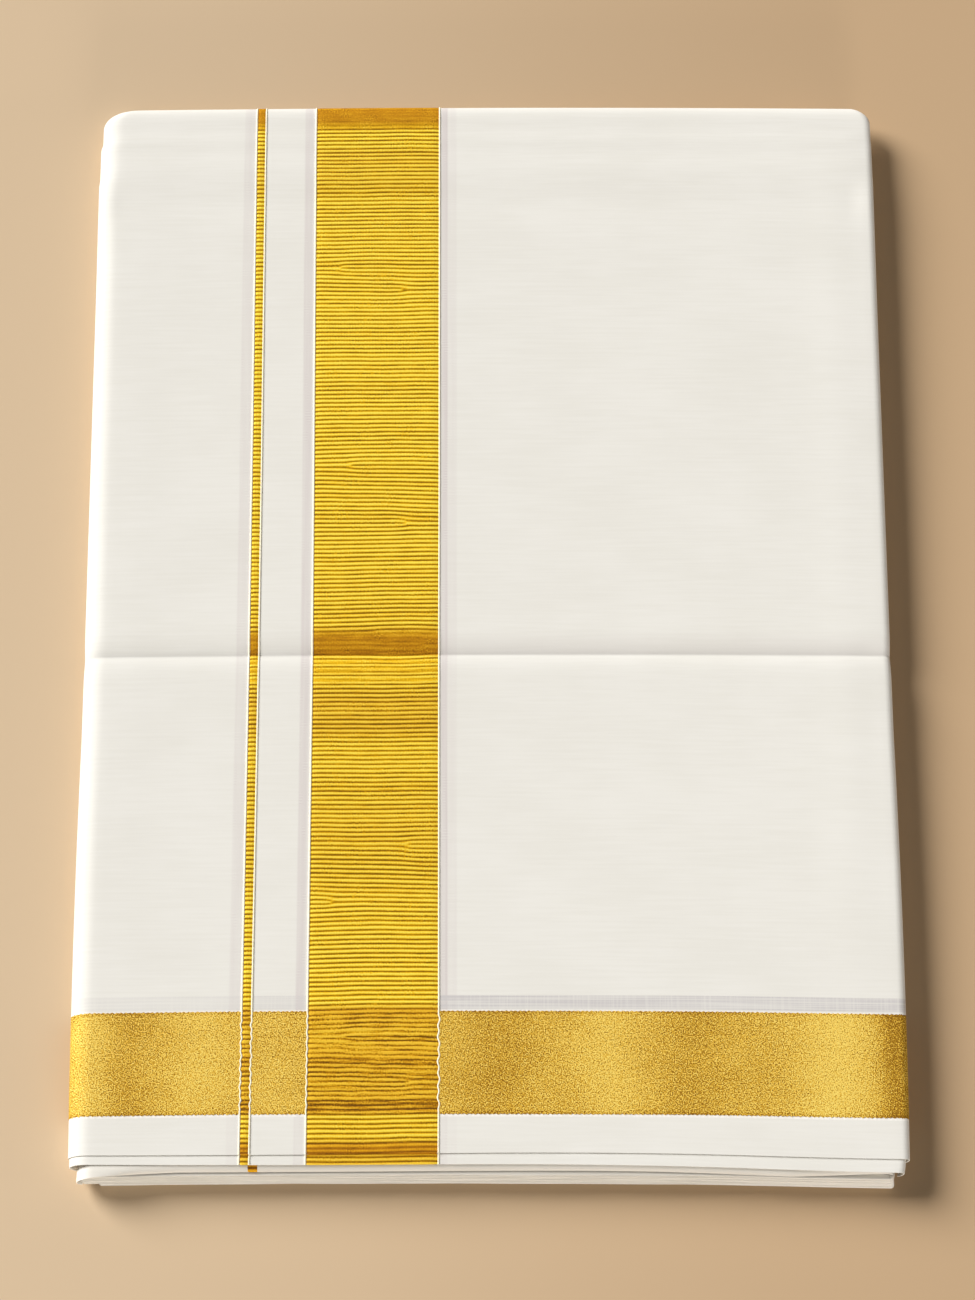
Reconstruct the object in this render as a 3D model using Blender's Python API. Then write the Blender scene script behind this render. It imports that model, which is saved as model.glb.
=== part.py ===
"""A cotton dhoti folded into a flat packet, with its gold thread borders showing on top.

The cloth is one loom piece, 1.27 m by 3.6 m. It is folded in eight along its length and in four
across its width. Two free ends lie on top at the near edge. The upper one carries the border, the
stripe and the end band, which are woven into it, so each is a piece of the same wall, a hair apart
from the white cloth. The plies bend round both sides and over the far edge of the hidden layers.

X runs across the packet, +Y from the open near edge to the folded far edge, and +Z up. The origin
is at the centre of the footprint. Sizes are in millimetres, and vertices are made in metres.
"""

import math
from collections import namedtuple

import bmesh
import bpy
from mathutils import Vector

MM = 0.001

# The cut cloth and how it is folded.
CLOTH_WIDTH = 1270.0
CLOTH_LENGTH = 3600.0
PACK_WIDTH = CLOTH_WIDTH / 4
PACK_LENGTH = CLOTH_LENGTH / 8 + 1.0
PACK_HEIGHT = 13.0
HALF_WIDTH = PACK_WIDTH / 2
HALF_LENGTH = PACK_LENGTH / 2

# One ply, and the hair of air that parts it from its neighbours.
PLY = 1.0
GAP = 0.3
HALF_GAP = GAP / 2

# The weft bows: every line across the packet has its middle further from the near edge. Towards
# the near end it is askew too, by this much at each side.
WEFT_BOW = 1.0
WEFT_SKEW = 0.7
# This much further along +Y, the bowed packet's footprint is centred on the origin.
CENTRING = 0.5

# The two free ends stop short of the stack's near edge, and lie a little askew on it.
FREE_ENDS = {
    "top": {"setback": 8.7, "skew": 0.0},
    "under": {"setback": 4.4, "skew": 0.9},
}
LAYERS_SKEW = 0.4
EDGE_WAVE = 0.4
EDGE_WAVE_LENGTH = 230.0

# Side folds: how far in each bend starts, the height of its widest point, how far it reaches
# below that, and the angle at which the ply ends, tucked under.
FOLD_REACH = 10.0
SIDE_FOLDS = {
    "left": {"sign": -1, "middle": 6.9, "below": 6.2, "end": -45},
    "right": {"sign": 1, "middle": 9.5, "below": 3.4, "end": -90},
}
SIDE_STEPS = 6

# The far fold is a nose: its length, its half height, and the angle at which the ply ends.
NOSE_LENGTH = 7.0
NOSE_HALF_HEIGHT = 2.6
NOSE_START = HALF_LENGTH - NOSE_LENGTH
NOSE_ANGLES = (0, 18, 36, 54, 76, 95)
CORNER_RADIUS = 8.0
FAR_SLOPE_LENGTH = 31.0
FAR_SLOPE_DROP = 1.6
FAR_SLOPE_ROWS = 6

# The crease left by the last fold: a valley across the packet.
CREASE_Y = -16.2
CREASE_DEPTH = 1.6
CREASE_SPAN = {"near": 8.0, "far": 11.0}
CREASE_PINCH = 0.5
CREASE_SHARES = (1.0, 0.65, 0.35, 0.15)

# The near half is a little fuller than the rest.
BULGE = 0.7
BULGE_Y = -135.0
BULGE_SPAN = 85.0
BULGE_YS = [-208.0, -182.0, -135.0, -105.0, -75.0, -50.0]

# Where the woven bands lie in the upper free end.
BORDER = {"from": -68.5, "to": -18.9}
STRIPE = {"from": -93.2, "to": -90.2}
END_BAND = {"from": -201.6, "to": -161.4}
RIB_PITCH = 1.84
RIB_HEIGHT = 0.28
UNDER_SLOT_LENGTH = 12.0
BAND_END_ANGLE = 2

# The hidden layers: one solid whose edges show the bundles of plies as rounded lips. Each row is
# one level of its wall, with its height and how far it is set in from the packet's outline. The
# lips at the near right corner stand out past the plies that are tucked in along the right side.
LAYERS_HEIGHT = 9.9
LAYERS_CORNERS = {"near": 1.2, "far": 9.0}
TUCK_Y = -222.7
LAYERS_CORNER_Y = 208.4
LAYER_LEVELS = (
    # height, near, far, left, right, near right corner
    (0.00, 1.2, 8.0, 9.8, 6.6, 6.6),
    (0.45, 0.3, 7.0, 9.2, 5.5, 5.5),
    (1.20, 0.0, 6.6, 8.9, 5.2, 5.2),
    (1.90, 0.4, 7.0, 9.2, 5.6, 5.6),
    (2.10, 1.2, 7.8, 9.4, 6.2, 6.2),
    (2.30, 0.6, 6.4, 6.0, 5.5, 5.5),
    (2.80, 0.3, 6.0, 5.4, 5.2, 5.2),
    (3.60, 0.3, 5.8, 5.4, 5.2, 5.2),
    (4.00, 0.9, 6.4, 5.4, 5.6, 5.6),
    (4.30, 0.4, 5.4, 5.0, 5.3, 5.3),
    (5.10, 0.4, 5.1, 4.1, 5.4, 5.2),
    (5.60, 0.6, 5.3, 3.9, 6.4, 5.3),
    (5.75, 1.2, 5.8, 3.9, 10.8, 5.7),
    (6.10, 0.8, 4.4, 3.9, 10.8, 5.3),
    (7.40, 0.7, 4.2, 3.9, 10.8, 5.2),
    (7.80, 1.3, 4.6, 4.0, 10.8, 5.6),
    (8.20, 1.0, 3.6, 4.3, 10.8, 5.3),
    (8.75, 1.0, 3.6, 5.0, 10.8, 5.3),
    (8.95, 1.0, 3.8, 5.4, 8.0, 5.4),
    (9.45, 1.0, 3.8, 6.6, 7.0, 5.8),
    (LAYERS_HEIGHT, 1.5, 4.8, 9.8, 9.8, 7.0),
)
LAYERS_EDGE_COLUMNS = 7
CORNER_STEPS = 4

SHARP_ANGLE = 28

COTTON = {"name": "cotton", "color": (0.84, 0.81, 0.75, 1), "roughness": 0.85, "metallic": 0.0}
ZARI = {"name": "zari", "color": (0.78, 0.52, 0.10, 1), "roughness": 0.38, "metallic": 0.8}
LAYERS = {"name": "cotton_layers", "color": (0.80, 0.77, 0.71, 1), "roughness": 0.9, "metallic": 0.0}

# A place across the cloth: its x on the flat top, or its angle round the fold of that side.
Column = namedtuple("Column", "zone place")
# A place along the cloth: its y, its angle round the far nose, and the free end it is the edge of.
Row = namedtuple("Row", "y angle free_end", defaults=(0, None))


def smooth(t):
    """0 to 1 with no kink at either end."""
    t = min(max(t, 0.0), 1.0)
    return t * t * (3 - 2 * t)


def crease(y):
    """1 at the bottom of the crease, falling to 0 at its shoulders."""
    away = y - CREASE_Y
    span = CREASE_SPAN["far"] if away > 0 else CREASE_SPAN["near"]
    return max(0.0, 1 - abs(away) / span) ** 2


def top_height(y):
    """Height of the packet's upper side at y."""
    slope = smooth((y - (NOSE_START - FAR_SLOPE_LENGTH)) / FAR_SLOPE_LENGTH)
    return PACK_HEIGHT - CREASE_DEPTH * crease(y) - FAR_SLOPE_DROP * slope


def squashed(height, stack):
    """A height in the packet where the packet is only this tall: the shown plies keep their thickness."""
    fold = SIDE_FOLDS["right"]
    tuck = fold["middle"] - fold["below"]
    shown = 2 * PLY + GAP
    low, high = tuck * stack / PACK_HEIGHT, stack - shown
    if height < tuck:
        return height * stack / PACK_HEIGHT
    if height < tuck + shown:
        return low + height - tuck
    share = (height - tuck - shown) / (PACK_HEIGHT - tuck - 2 * shown)
    return low + shown + share * (high - low - shown)


def corner_inset(y, radius, end):
    """How far the side stands in where the plan's far corner is rounded."""
    into = min(max(y - (end - radius), 0.0), radius)
    return radius - math.sqrt(radius**2 - into**2)


def side_inset(y):
    """How far the side's widest point stands in from the packet's full width."""
    fullness = BULGE * max(0.0, 1 - ((y - BULGE_Y) / BULGE_SPAN) ** 2)
    return BULGE - fullness + CREASE_PINCH * crease(y)


def bowed(x, y):
    """The y of a point of the packet once the weft is bowed and askew."""
    across = x / HALF_WIDTH
    near = max(0.0, (CREASE_Y - y) / (CREASE_Y + HALF_LENGTH))
    return y + CENTRING + WEFT_BOW * (0.5 - across**2) - WEFT_SKEW * near * across


def edge_shift(x, skew):
    """How far an edge that lies free is from a straight line: its slow wave and its skew."""
    return EDGE_WAVE * math.sin(2 * math.pi * x / EDGE_WAVE_LENGTH + 0.7) - skew * x / HALF_WIDTH


def packet_point(column, row, depth):
    """A point of the cloth, this far below its outer face."""
    turn = math.radians(row.angle)
    inward = NOSE_HALF_HEIGHT - (NOSE_HALF_HEIGHT - depth) * math.cos(turn)
    y = row.y + (NOSE_LENGTH - depth) * math.sin(turn)
    height = top_height(y)

    def placed(x, z):
        shift = edge_shift(x, FREE_ENDS[row.free_end]["skew"]) if row.free_end else 0.0
        return x * MM, bowed(x, y + shift) * MM, z * MM

    if column.zone == "flat":
        return placed(column.place, height - inward)
    fold = SIDE_FOLDS[column.zone]
    bend = math.radians(column.place)
    squeeze = height / PACK_HEIGHT
    radius = PACK_HEIGHT - fold["middle"] if column.place >= 0 else fold["below"]
    inset = side_inset(y) + corner_inset(y, CORNER_RADIUS, HALF_LENGTH)
    centre = HALF_WIDTH - FOLD_REACH - inset
    x = fold["sign"] * (centre + (FOLD_REACH - inward) * math.cos(bend))
    return placed(x, fold["middle"] * squeeze + (radius * squeeze - inward) * math.sin(bend))


def fold_columns(side):
    """The columns round a side fold, from where the ply is tucked up to the flat top."""
    end = SIDE_FOLDS[side]["end"]
    below = [end * (1 - i / SIDE_STEPS) for i in range(SIDE_STEPS)]
    above = [90 * i / SIDE_STEPS for i in range(SIDE_STEPS + 1)]
    return [Column(side, angle) for angle in below + above]


def seam(place):
    """The two faces of the hair of air at a seam."""
    return [place - HALF_GAP, place + HALF_GAP]


def all_columns():
    """The columns across a whole ply, from the left tuck to the right one."""
    seams = [STRIPE["from"], STRIPE["to"], BORDER["from"], BORDER["to"]]
    flat = [Column("flat", x) for place in seams for x in seam(place)]
    return fold_columns("left") + flat + fold_columns("right")[::-1]


def span_columns(span):
    """The two sides of a band, half a seam inside its span."""
    return [Column("flat", span["from"] + HALF_GAP), Column("flat", span["to"] - HALF_GAP)]


def crease_ys():
    """The rows of the crease, closest together at its bottom."""
    near = [CREASE_Y - CREASE_SPAN["near"] * share for share in CREASE_SHARES]
    far = [CREASE_Y + CREASE_SPAN["far"] * share for share in CREASE_SHARES[::-1]]
    return near + [CREASE_Y] + far


def slope_ys():
    """The rows of the slope down to the far fold."""
    step = FAR_SLOPE_LENGTH / FAR_SLOPE_ROWS
    return [NOSE_START - FAR_SLOPE_LENGTH + step * i for i in range(FAR_SLOPE_ROWS)]


def ply_rows(free_end, seams):
    """The rows along a ply: its free edge, seams, crease, far slope and nose."""
    edge_y = FREE_ENDS[free_end]["setback"] - HALF_LENGTH
    bulge = [y for y in BULGE_YS if y > edge_y and all(abs(y - place) > 1 for place in seams)]
    inner = sorted(bulge + crease_ys() + slope_ys() + [y for place in seams for y in seam(place)])
    nose = [Row(NOSE_START, angle) for angle in NOSE_ANGLES]
    return [Row(edge_y, free_end=free_end)] + [Row(y) for y in inner] + nose


def material(spec):
    """The named material, made once."""
    found = bpy.data.materials.get(spec["name"])
    if found:
        return found
    made = bpy.data.materials.new(spec["name"])
    made.use_nodes = True
    shader = made.node_tree.nodes["Principled BSDF"]
    shader.inputs["Base Color"].default_value = spec["color"]
    shader.inputs["Roughness"].default_value = spec["roughness"]
    shader.inputs["Metallic"].default_value = spec["metallic"]
    return made


def add_object(name, bm, spec):
    """Turns a bmesh into a named object with its material."""
    bmesh.ops.recalc_face_normals(bm, faces=bm.faces)
    mesh = bpy.data.meshes.new(name)
    bm.to_mesh(mesh)
    bm.free()
    mesh.materials.append(material(spec))
    mesh.shade_smooth()
    mesh.set_sharp_from_angle(angle=math.radians(SHARP_ANGLE))
    bpy.context.scene.collection.objects.link(bpy.data.objects.new(name, mesh))


def add_wall(name, columns, rows, outer_depth, is_cloth, spec):
    """A wall one ply thick over the cells of the grid for which is_cloth(a, b, c, d) is true.

    A cell lies between columns a and b, and between rows c and d.
    """
    bm = bmesh.new()
    corners = {}

    def vertex(i, j, depth):
        key = (i, j, depth)
        if key not in corners:
            corners[key] = bm.verts.new(packet_point(columns[j], rows[i], depth))
        return corners[key]

    outer, inner = outer_depth, outer_depth + PLY
    cells = {
        (i, j)
        for i in range(len(rows) - 1)
        for j in range(len(columns) - 1)
        if is_cloth(columns[j], columns[j + 1], rows[i], rows[i + 1])
    }
    for i, j in sorted(cells):
        ring = [(i, j), (i, j + 1), (i + 1, j + 1), (i + 1, j)]
        beyond = [(i - 1, j), (i, j + 1), (i + 1, j), (i, j - 1)]
        bm.faces.new([vertex(*corner, outer) for corner in ring])
        bm.faces.new([vertex(*corner, inner) for corner in ring[::-1]])
        for k, neighbour in enumerate(beyond):
            if neighbour not in cells:
                a, b = ring[k], ring[(k + 1) % 4]
                bm.faces.new([vertex(*a, outer), vertex(*a, inner), vertex(*b, inner), vertex(*b, outer)])
    add_object(name, bm, spec)


def nose_angle(distance):
    """The angle on the far nose at this distance along the cloth from where the nose starts."""
    angle, gone, step = 0.0, 0.0, 0.25
    while gone < distance:
        turn = math.radians(angle)
        along = math.hypot(NOSE_LENGTH * math.cos(turn), NOSE_HALF_HEIGHT * math.sin(turn))
        gone += along * math.radians(step)
        angle += step
    return angle


def rib_rows(first, last):
    """The rows of the ribs between two rows: trough and crest by turns, from a crest to a crest."""
    ribs = []
    reach = last.y if not last.angle else HALF_LENGTH
    for k in range(1, int(2 * (reach - first.y) / RIB_PITCH)):
        y = first.y + k * RIB_PITCH / 2
        row = Row(y) if y < NOSE_START else Row(NOSE_START, nose_angle(y - NOSE_START))
        if (row.y, row.angle) < (last.y, last.angle):
            ribs.append(row)
    return ribs if len(ribs) % 2 else ribs[:-1]


def add_ribbed_band(name, span, rows, outer_depth):
    """A woven band: a wall whose outer face is ribbed across its length over a plain inside."""
    bm = bmesh.new()
    sides = span_columns(span)
    ribs = rib_rows(rows[0], rows[-1])
    crests = set(ribs[::2])
    troughs = [rows[0]] + ribs[1::2] + [rows[-1]]

    def away(row, other):
        return abs(row.y - other.y) + abs(row.angle - other.angle)

    turns = {min(troughs, key=lambda trough, row=row: away(row, trough)) for row in rows}
    turns = [row for row in troughs if row in turns]

    def pair(row, depth):
        return [bm.verts.new(packet_point(side, row, depth)) for side in sides]

    outer = {row: pair(row, outer_depth) for row in troughs}
    outer |= {row: pair(row, outer_depth - RIB_HEIGHT) for row in crests}
    inner = {row: pair(row, outer_depth + PLY) for row in turns}
    fine = [rows[0]] + ribs + [rows[-1]]
    for a, b in zip(fine, fine[1:]):
        bm.faces.new([outer[a][0], outer[a][1], outer[b][1], outer[b][0]])
    for a, crest, b in zip(fine[::2], fine[1::2], fine[2::2]):
        for side in (0, 1):
            bm.faces.new([outer[a][side], outer[crest][side], outer[b][side]])
    for a, b in zip(turns, turns[1:]):
        bm.faces.new([inner[a][0], inner[b][0], inner[b][1], inner[a][1]])
        between = troughs[troughs.index(a) : troughs.index(b) + 1]
        for side in (0, 1):
            bm.faces.new([inner[a][side], outer[b][side], inner[b][side]])
            for c, d in zip(between, between[1:]):
                bm.faces.new([inner[a][side], outer[c][side], outer[d][side]])
    for row in (rows[0], rows[-1]):
        bm.faces.new([outer[row][0], outer[row][1], inner[row][1], inner[row][0]])
    bmesh.ops.triangulate(bm, faces=bm.faces)
    add_object(name, bm, ZARI)


def across_zone(a, b):
    """Which stretch across the cloth lies between two columns."""
    for side, fold in SIDE_FOLDS.items():
        if a.zone == b.zone == side and fold["end"] in (a.place, b.place):
            return "tuck"
    for side in SIDE_FOLDS:
        if side in (a.zone, b.zone):
            return side
    if b.place - a.place < 2 * GAP:
        return "seam"
    for zone, span in (("border", BORDER), ("stripe", STRIPE)):
        if span["from"] < (a.place + b.place) / 2 < span["to"]:
            return zone
    return "middle"


def along_zone(c, d):
    """Which stretch along the upper free end lies between two rows."""
    if d.angle:
        return "tuck" if d.angle == NOSE_ANGLES[-1] else "field"
    if d.y - c.y < 2 * GAP:
        return "seam"
    if d.y < END_BAND["from"]:
        return "hem"
    return "end_band" if d.y < END_BAND["to"] else "field"


def owner(a, b, c, d):
    """The piece of the upper free end that fills the cell between columns a, b and rows c, d."""
    across, along = across_zone(a, b), along_zone(c, d)
    if "tuck" in (across, along):
        return "top_cloth"
    if across == "seam":
        return None
    if across in ("border", "stripe"):
        return across
    if along == "seam":
        return None
    if along == "end_band":
        return "end_band_" + across
    return "hem_middle" if (along, across) == ("hem", "middle") else "top_cloth"


def add_upper_end():
    """The upper free end: white cloth, the end band's three stretches, the border and the stripe."""
    columns = all_columns()
    rows = ply_rows("top", [END_BAND["from"], END_BAND["to"]])
    pieces = {
        "top_cloth": COTTON,
        "hem_middle": COTTON,
        "end_band_left": ZARI,
        "end_band_middle": ZARI,
        "end_band_right": ZARI,
    }
    for name, spec in pieces.items():
        add_wall(name, columns, rows, 0.0, lambda *cell, name=name: owner(*cell) == name, spec)
    band_end = Row(NOSE_START, NOSE_ANGLES[-2] - BAND_END_ANGLE)
    band_rows = [row for row in rows if row.angle < NOSE_ANGLES[-2]] + [band_end]
    add_ribbed_band("border_zari", BORDER, band_rows, 0.0)
    add_wall("stripe_zari", span_columns(STRIPE), band_rows, 0.0, lambda *cell: True, ZARI)


def add_lower_end():
    """The free end below, which shows as a narrow strip with the ends of its border and stripe."""
    depth = PLY + GAP
    slot_end = FREE_ENDS["under"]["setback"] - HALF_LENGTH + UNDER_SLOT_LENGTH
    rows = ply_rows("under", [slot_end])
    short_rows = [row for row in rows if row.y < slot_end]

    def is_white(a, b, c, d):
        return across_zone(a, b) not in ("border", "stripe", "seam") or c.y > slot_end

    add_wall("under_cloth", all_columns(), rows, depth, is_white, COTTON)
    add_ribbed_band("under_border_zari", BORDER, short_rows, depth)
    add_wall("under_stripe_zari", span_columns(STRIPE), short_rows, depth, lambda *cell: True, ZARI)


def layer_ring(height, near, far, left, right, near_right):
    """One level of the hidden layers' wall as (x, y, z), anticlockwise from the near right corner."""
    sides = {"left": {"sign": -1, "inset": left}, "right": {"sign": 1, "inset": right}}
    ends = {"near": near - HALF_LENGTH, "far": HALF_LENGTH - far}

    def at(side, inset, y):
        x = sides[side]["sign"] * (HALF_WIDTH - inset - side_inset(y))
        skew = LAYERS_SKEW if y <= TUCK_Y else 0.0
        return x, bowed(x, y) - skew * x / HALF_WIDTH, squashed(height, top_height(y))

    def corner(side, end):
        """The points of a rounded corner, from the side to the end."""
        start = near_right if (side, end) == ("right", "near") else sides[side]["inset"]
        radius = LAYERS_CORNERS[end]
        sign = 1 if end == "far" else -1
        points = []
        for k in range(CORNER_STEPS + 1):
            turn = math.pi / 2 * k / CORNER_STEPS
            y = ends[end] - sign * radius * (1 - math.sin(turn))
            inset = start + radius * (1 - math.cos(turn))
            points.append(at(side, inset, y))
        return points

    def edge(a, b, wave):
        """The points of an end between two corners, with its slow wave."""
        shares = [k / LAYERS_EDGE_COLUMNS for k in range(1, LAYERS_EDGE_COLUMNS)]
        points = []
        for share in shares:
            x = a[0] + (b[0] - a[0]) * share
            bow = WEFT_BOW * (a[0] ** 2 - x**2) / HALF_WIDTH**2
            y = a[1] + (b[1] - a[1]) * share + bow + wave * math.sin(math.pi * share) * edge_shift(x, 0)
            points.append((x, y, a[2]))
        return points

    def side_points(side):
        return [at(side, sides[side]["inset"], y) for y in LAYER_YS]

    corners = {(side, end): corner(side, end) for side in sides for end in ends}
    return (
        corners["right", "near"][::-1]
        + side_points("right")
        + corners["right", "far"]
        + edge(corners["right", "far"][-1], corners["left", "far"][-1], 0.0)
        + corners["left", "far"][::-1]
        + side_points("left")[::-1]
        + corners["left", "near"]
        + edge(corners["left", "near"][-1], corners["right", "near"][-1], 1.0)
    )


def add_cap(bm, ring):
    """Closes a level of the layers: strips across the packet, and a fan at each end."""
    side_count = len(LAYER_YS) - 1
    first_right = CORNER_STEPS + 2
    last_right = first_right + side_count - 1
    first_left = last_right + 2 * (CORNER_STEPS + 1) + LAYERS_EDGE_COLUMNS
    last_left = first_left + side_count - 1
    for k in range(side_count - 1):
        right, left = last_right - k, first_left + k
        bm.faces.new([ring[right - 1], ring[right], ring[left], ring[left + 1]])
    for outline in (ring[last_right : first_left + 1], ring[last_left:] + ring[: first_right + 1]):
        hub = bm.verts.new(sum((vertex.co for vertex in outline), Vector()) / len(outline))
        hub.co.y = (hub.co.y + outline[0].co.y) / 2
        for one, other in zip(outline, outline[1:] + outline[:1]):
            bm.faces.new([one, other, hub])


def add_hidden_layers():
    """The plies between the shown ones: one rounded solid with layered edges and a flat underside."""
    bm = bmesh.new()
    rings = [
        [bm.verts.new((x * MM, y * MM, z * MM)) for x, y, z in layer_ring(*level)]
        for level in LAYER_LEVELS
    ]
    for low, high in zip(rings, rings[1:]):
        for k in range(len(low)):
            bm.faces.new([low[k - 1], low[k], high[k], high[k - 1]])
    add_cap(bm, rings[0])
    add_cap(bm, rings[-1])
    bmesh.ops.triangulate(bm, faces=bm.faces)
    add_object("folded_layers", bm, LAYERS)


LAYER_YS = sorted([TUCK_Y] + BULGE_YS + crease_ys() + [y for y in slope_ys() if y < LAYERS_CORNER_Y])


def main():
    """Clears the scene and makes the packet from the bottom up."""
    for old in list(bpy.data.objects):
        bpy.data.objects.remove(old)
    add_hidden_layers()
    add_lower_end()
    add_upper_end()


main()
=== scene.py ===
"""The looks of a cotton dhoti folded into a flat packet, with gold thread bands, on a pale floor.

Every ply is a thin closed wall made from one skin: the shape of the packet's outside, bent round
both side folds and over the far fold. Places on it are in millimetres, X across the packet, +Y
from the open near edge to the folded far edge, +Z up. Each point also keeps its place on the
cloth laid flat, so that threads, ribs and grain follow the cloth round its folds.
"""

import math
from collections import namedtuple

import bpy
import numpy as np
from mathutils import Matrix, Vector


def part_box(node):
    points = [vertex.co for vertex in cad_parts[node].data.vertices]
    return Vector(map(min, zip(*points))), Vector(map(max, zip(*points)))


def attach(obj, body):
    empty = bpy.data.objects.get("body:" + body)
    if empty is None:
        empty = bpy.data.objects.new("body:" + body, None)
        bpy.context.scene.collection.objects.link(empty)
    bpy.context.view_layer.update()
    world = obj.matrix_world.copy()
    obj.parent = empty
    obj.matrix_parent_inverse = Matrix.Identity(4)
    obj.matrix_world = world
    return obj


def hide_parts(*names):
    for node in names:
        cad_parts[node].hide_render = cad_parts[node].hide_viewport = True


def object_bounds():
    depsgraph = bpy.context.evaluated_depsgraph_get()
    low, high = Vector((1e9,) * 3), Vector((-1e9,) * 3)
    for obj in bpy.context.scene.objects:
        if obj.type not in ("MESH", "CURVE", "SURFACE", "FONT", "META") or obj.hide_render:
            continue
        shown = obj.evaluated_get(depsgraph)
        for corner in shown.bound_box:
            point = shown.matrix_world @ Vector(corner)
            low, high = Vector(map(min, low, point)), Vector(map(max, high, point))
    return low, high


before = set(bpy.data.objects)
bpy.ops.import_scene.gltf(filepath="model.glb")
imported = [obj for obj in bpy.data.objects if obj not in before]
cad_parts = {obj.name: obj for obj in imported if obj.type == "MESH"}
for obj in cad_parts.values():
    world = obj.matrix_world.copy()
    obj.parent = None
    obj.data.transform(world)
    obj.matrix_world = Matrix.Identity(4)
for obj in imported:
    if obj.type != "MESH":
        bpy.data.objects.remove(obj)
cad_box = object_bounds()

MM = 0.001


def span_of(node):
    """The stretch across the packet that a CAD node fills."""
    low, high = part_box(node)
    return low.x / MM, high.x / MM


# The packet. Its main sizes are those of the CAD, and the finer ones are only here.
PACK_HEIGHT = 13.0
HALF_WIDTH = cad_box[1].x / MM
HALF_LENGTH = 225.5
NOSE_LENGTH = 7.0
NOSE_HALF_HEIGHT = 2.6
NOSE_START = HALF_LENGTH - NOSE_LENGTH
NOSE_END = 96.0
FAR_SLOPE = 31.0
FAR_SLOPE_DROP = 1.6
CORNER_RADIUS = 8.0
CREASE_Y = -16.2
CREASE_DEPTH = 1.45
CREASE_NEAR = 10.5
CREASE_FAR = 11.0
CREASE_PINCH = 0.25
BULGE = 0.7
BULGE_Y = -135.0
BULGE_SPAN = 85.0
WAIST = 0.15
WAIST_ENDS = (-60.0, 190.0)
WAIST_FADE = 60.0
CENTRING = 0.5
WEFT_BOW = 1.0
WEFT_SKEW = 0.7
EDGE_WAVE = 0.4
EDGE_WAVE_LENGTH = 230.0
EDGE_WAVE_PHASE = 0.7
EDGE_FADE = 14.0
UNDER_SKEW = 0.9
# From this far out, the flat cloth follows its side's insets, fully after the span.
PULL_START = 95.0
PULL_SPAN = 50.0
# The least radius of a ply's bend.
TIGHTEST = 0.05

# The left side steps in near the far end: where each step starts, and how deep it is. The right
# side has the same steps, only shallower.
Jog = namedtuple("Jog", "y inset")
JOGS = (Jog(191.0, 0.35), Jog(208.0, 0.75))
JOG_LENGTH = 3.0
RIGHT_JOG_SHARE = 0.2

# The weft dips at both sides of the near edge: from which x, to which side, over what width, and
# how deep.
Dip = namedtuple("Dip", "x side span depth")
DIPS = (Dip(70.0, 1, 80.0, 0.6), Dip(-90.0, -1, 60.0, 0.25))

# Where the bands are woven. The stripe and the border run along the cloth, the end band across it.
BORDER = span_of("border_zari")
STRIPE_SWELL = 0.25
STRIPE = tuple(x + out * STRIPE_SWELL for x, out in zip(span_of("stripe_zari"), (-1, 1)))
END_BAND = (-201.6, -161.4)
# The pitch of the ribs, and of the columns across the border and across the stripe.
RIB_PITCH = 1.84
BORDER_PITCH = 1.55
STRIPE_PITCH = 0.6

# Waves over the cloth: the height of each, its lengths across and along, and its phase. One that is
# endless across is the same all across the cloth.
Wave = namedtuple("Wave", "height across along phase", defaults=(0.0,))
ENDLESS = math.inf

# The stripe and the border's two edges: the place of each, how far it drifts from straight at each
# of DRIFT_YS, and how ragged it is where it crosses the end band. The first and the last row are
# where the plain cloth beside them has taken up their drift.
DRIFT_YS = (-225, -160, -16, 60, 225)
STEADY = (0.0,) * len(DRIFT_YS)
Edge = namedtuple("Edge", "x drifts ragged", defaults=((),))
EDGES = (
    Edge(-125.0, STEADY),
    Edge(sum(STRIPE) / 2, (0.0, 0.2, 0.6, 0.5, 0.0),
         (Wave(0.20, ENDLESS, 0.55), Wave(0.14, ENDLESS, 1.3, 1.0))),
    Edge(BORDER[0], (0.0, 0.2, 0.4, 0.1, -0.7), (Wave(0.16, ENDLESS, 0.7, 2.0),)),
    Edge(BORDER[1], (0.0, 0.1, 0.0, 0.1, 0.0),
         (Wave(0.26, ENDLESS, 0.75, 1.2), Wave(0.16, ENDLESS, 1.9))),
    Edge(20.0, STEADY),
)
RAGGED_MARGIN = 1.0
RAGGED_FADE = 4.0

# A ply is thinner here than in the CAD, and so are the hairs of air between plies.
PLY = 0.34
UNDER_DEPTH = 0.45
THIRD_DEPTH = 1.0
# White cloth runs on this far below a band woven over it.
LAP = 0.7

# How a ply bends round the packet's left side (-1) or its right one (1): the height of its widest
# point, how far it reaches above and below that, how far in the bend starts, how far in the whole
# fold lies, the angle at which the ply ends, and how much further out its near end lies.
Fold = namedtuple("Fold", "sign middle above below reach inset end flare")
LEFT = Fold(-1, 6.9, 6.1, 6.2, 8.5, 0.0, -55.0, 0.0)
UNDER_LEFT = LEFT._replace(end=-50.0)
DROOPING = Fold(-1, 6.2, 6.8, 5.4, 7.5, 2.4, -45.0, 0.4)
RIGHT = Fold(1, 11.2, 1.8, 5.1, 3.0, 0.0, -90.0, -1.1)
UNDER_RIGHT = RIGHT._replace(inset=1.1, end=-85.0)
INNER_RIGHT = RIGHT._replace(inset=1.9, end=-45.0, flare=0.0)
FLARE_LENGTH = 9.0

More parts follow.
